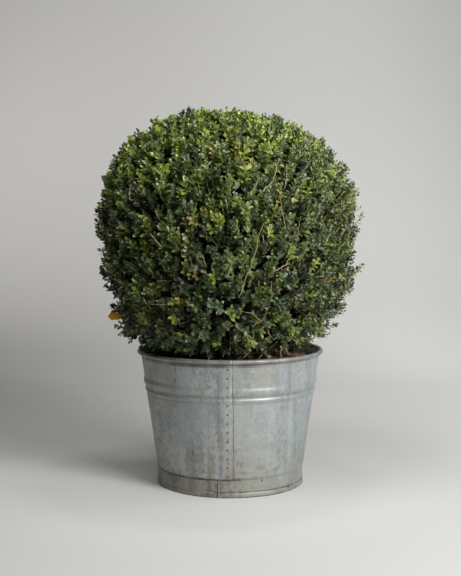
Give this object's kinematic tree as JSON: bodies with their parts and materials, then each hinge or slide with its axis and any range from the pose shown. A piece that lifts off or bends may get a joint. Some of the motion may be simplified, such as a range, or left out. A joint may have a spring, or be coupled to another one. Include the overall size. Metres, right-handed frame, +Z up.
{
  "type": "clipped box ball in a galvanised tub",
  "caption": "Dense box shrub clipped to a ball on a short hidden stem, growing in a tapered riveted steel tub with a rolled rim and foot band.",
  "frame": {"origin": "centre of the tub's flat underside, on the surface it stands on", "axes": "+Z up the tub's axis; -Y is the front, where the riveted side seam is; +X is to the right seen from the front"},
  "size_m": [0.646, 0.6368, 0.9231],
  "materials": {
    "zinc_sheet": "satin",
    "foot_zinc": "satin",
    "rivet_zinc": "satin",
    "potting_soil": "matte",
    "bark": "matte",
    "foliage": "satin"
  },
  "bodies": {
    "root": {"pot_wall": "zinc_sheet", "pot_rim": "zinc_sheet", "foot_band": "foot_zinc", "pot_base": "foot_zinc", "side_seam_front": "zinc_sheet", "side_seam_back": "zinc_sheet", "foot_seam": "foot_zinc", "seam_rivet_front_01": "rivet_zinc", "seam_rivet_front_02": "rivet_zinc", "seam_rivet_front_03": "rivet_zinc", "seam_rivet_front_04": "rivet_zinc", "seam_rivet_front_05": "rivet_zinc", "seam_rivet_front_06": "rivet_zinc", "seam_rivet_front_07": "rivet_zinc", "seam_rivet_front_08": "rivet_zinc", "seam_rivet_front_09": "rivet_zinc", "seam_rivet_front_10": "rivet_zinc", "seam_rivet_front_11": "rivet_zinc", "seam_rivet_front_12": "rivet_zinc", "seam_rivet_front_13": "rivet_zinc", "seam_rivet_back_01": "rivet_zinc", "seam_rivet_back_02": "rivet_zinc", "seam_rivet_back_03": "rivet_zinc", "seam_rivet_back_04": "rivet_zinc", "seam_rivet_back_05": "rivet_zinc", "seam_rivet_back_06": "rivet_zinc", "seam_rivet_back_07": "rivet_zinc", "seam_rivet_back_08": "rivet_zinc", "seam_rivet_back_09": "rivet_zinc", "seam_rivet_back_10": "rivet_zinc", "seam_rivet_back_11": "rivet_zinc", "seam_rivet_back_12": "rivet_zinc", "seam_rivet_back_13": "rivet_zinc", "foot_rivet_01": "rivet_zinc", "foot_rivet_02": "rivet_zinc", "foot_rivet_03": "rivet_zinc", "potting_soil": "potting_soil", "trunk": "bark", "bough_01": "bark", "bough_02": "bark", "bough_03": "bark", "bough_04": "bark", "bough_05": "bark", "bough_06": "bark", "bough_07": "bark", "bough_08": "bark", "bough_09": "bark", "bough_10": "bark", "foliage_ball": "foliage"}
  },
  "joints": []
}
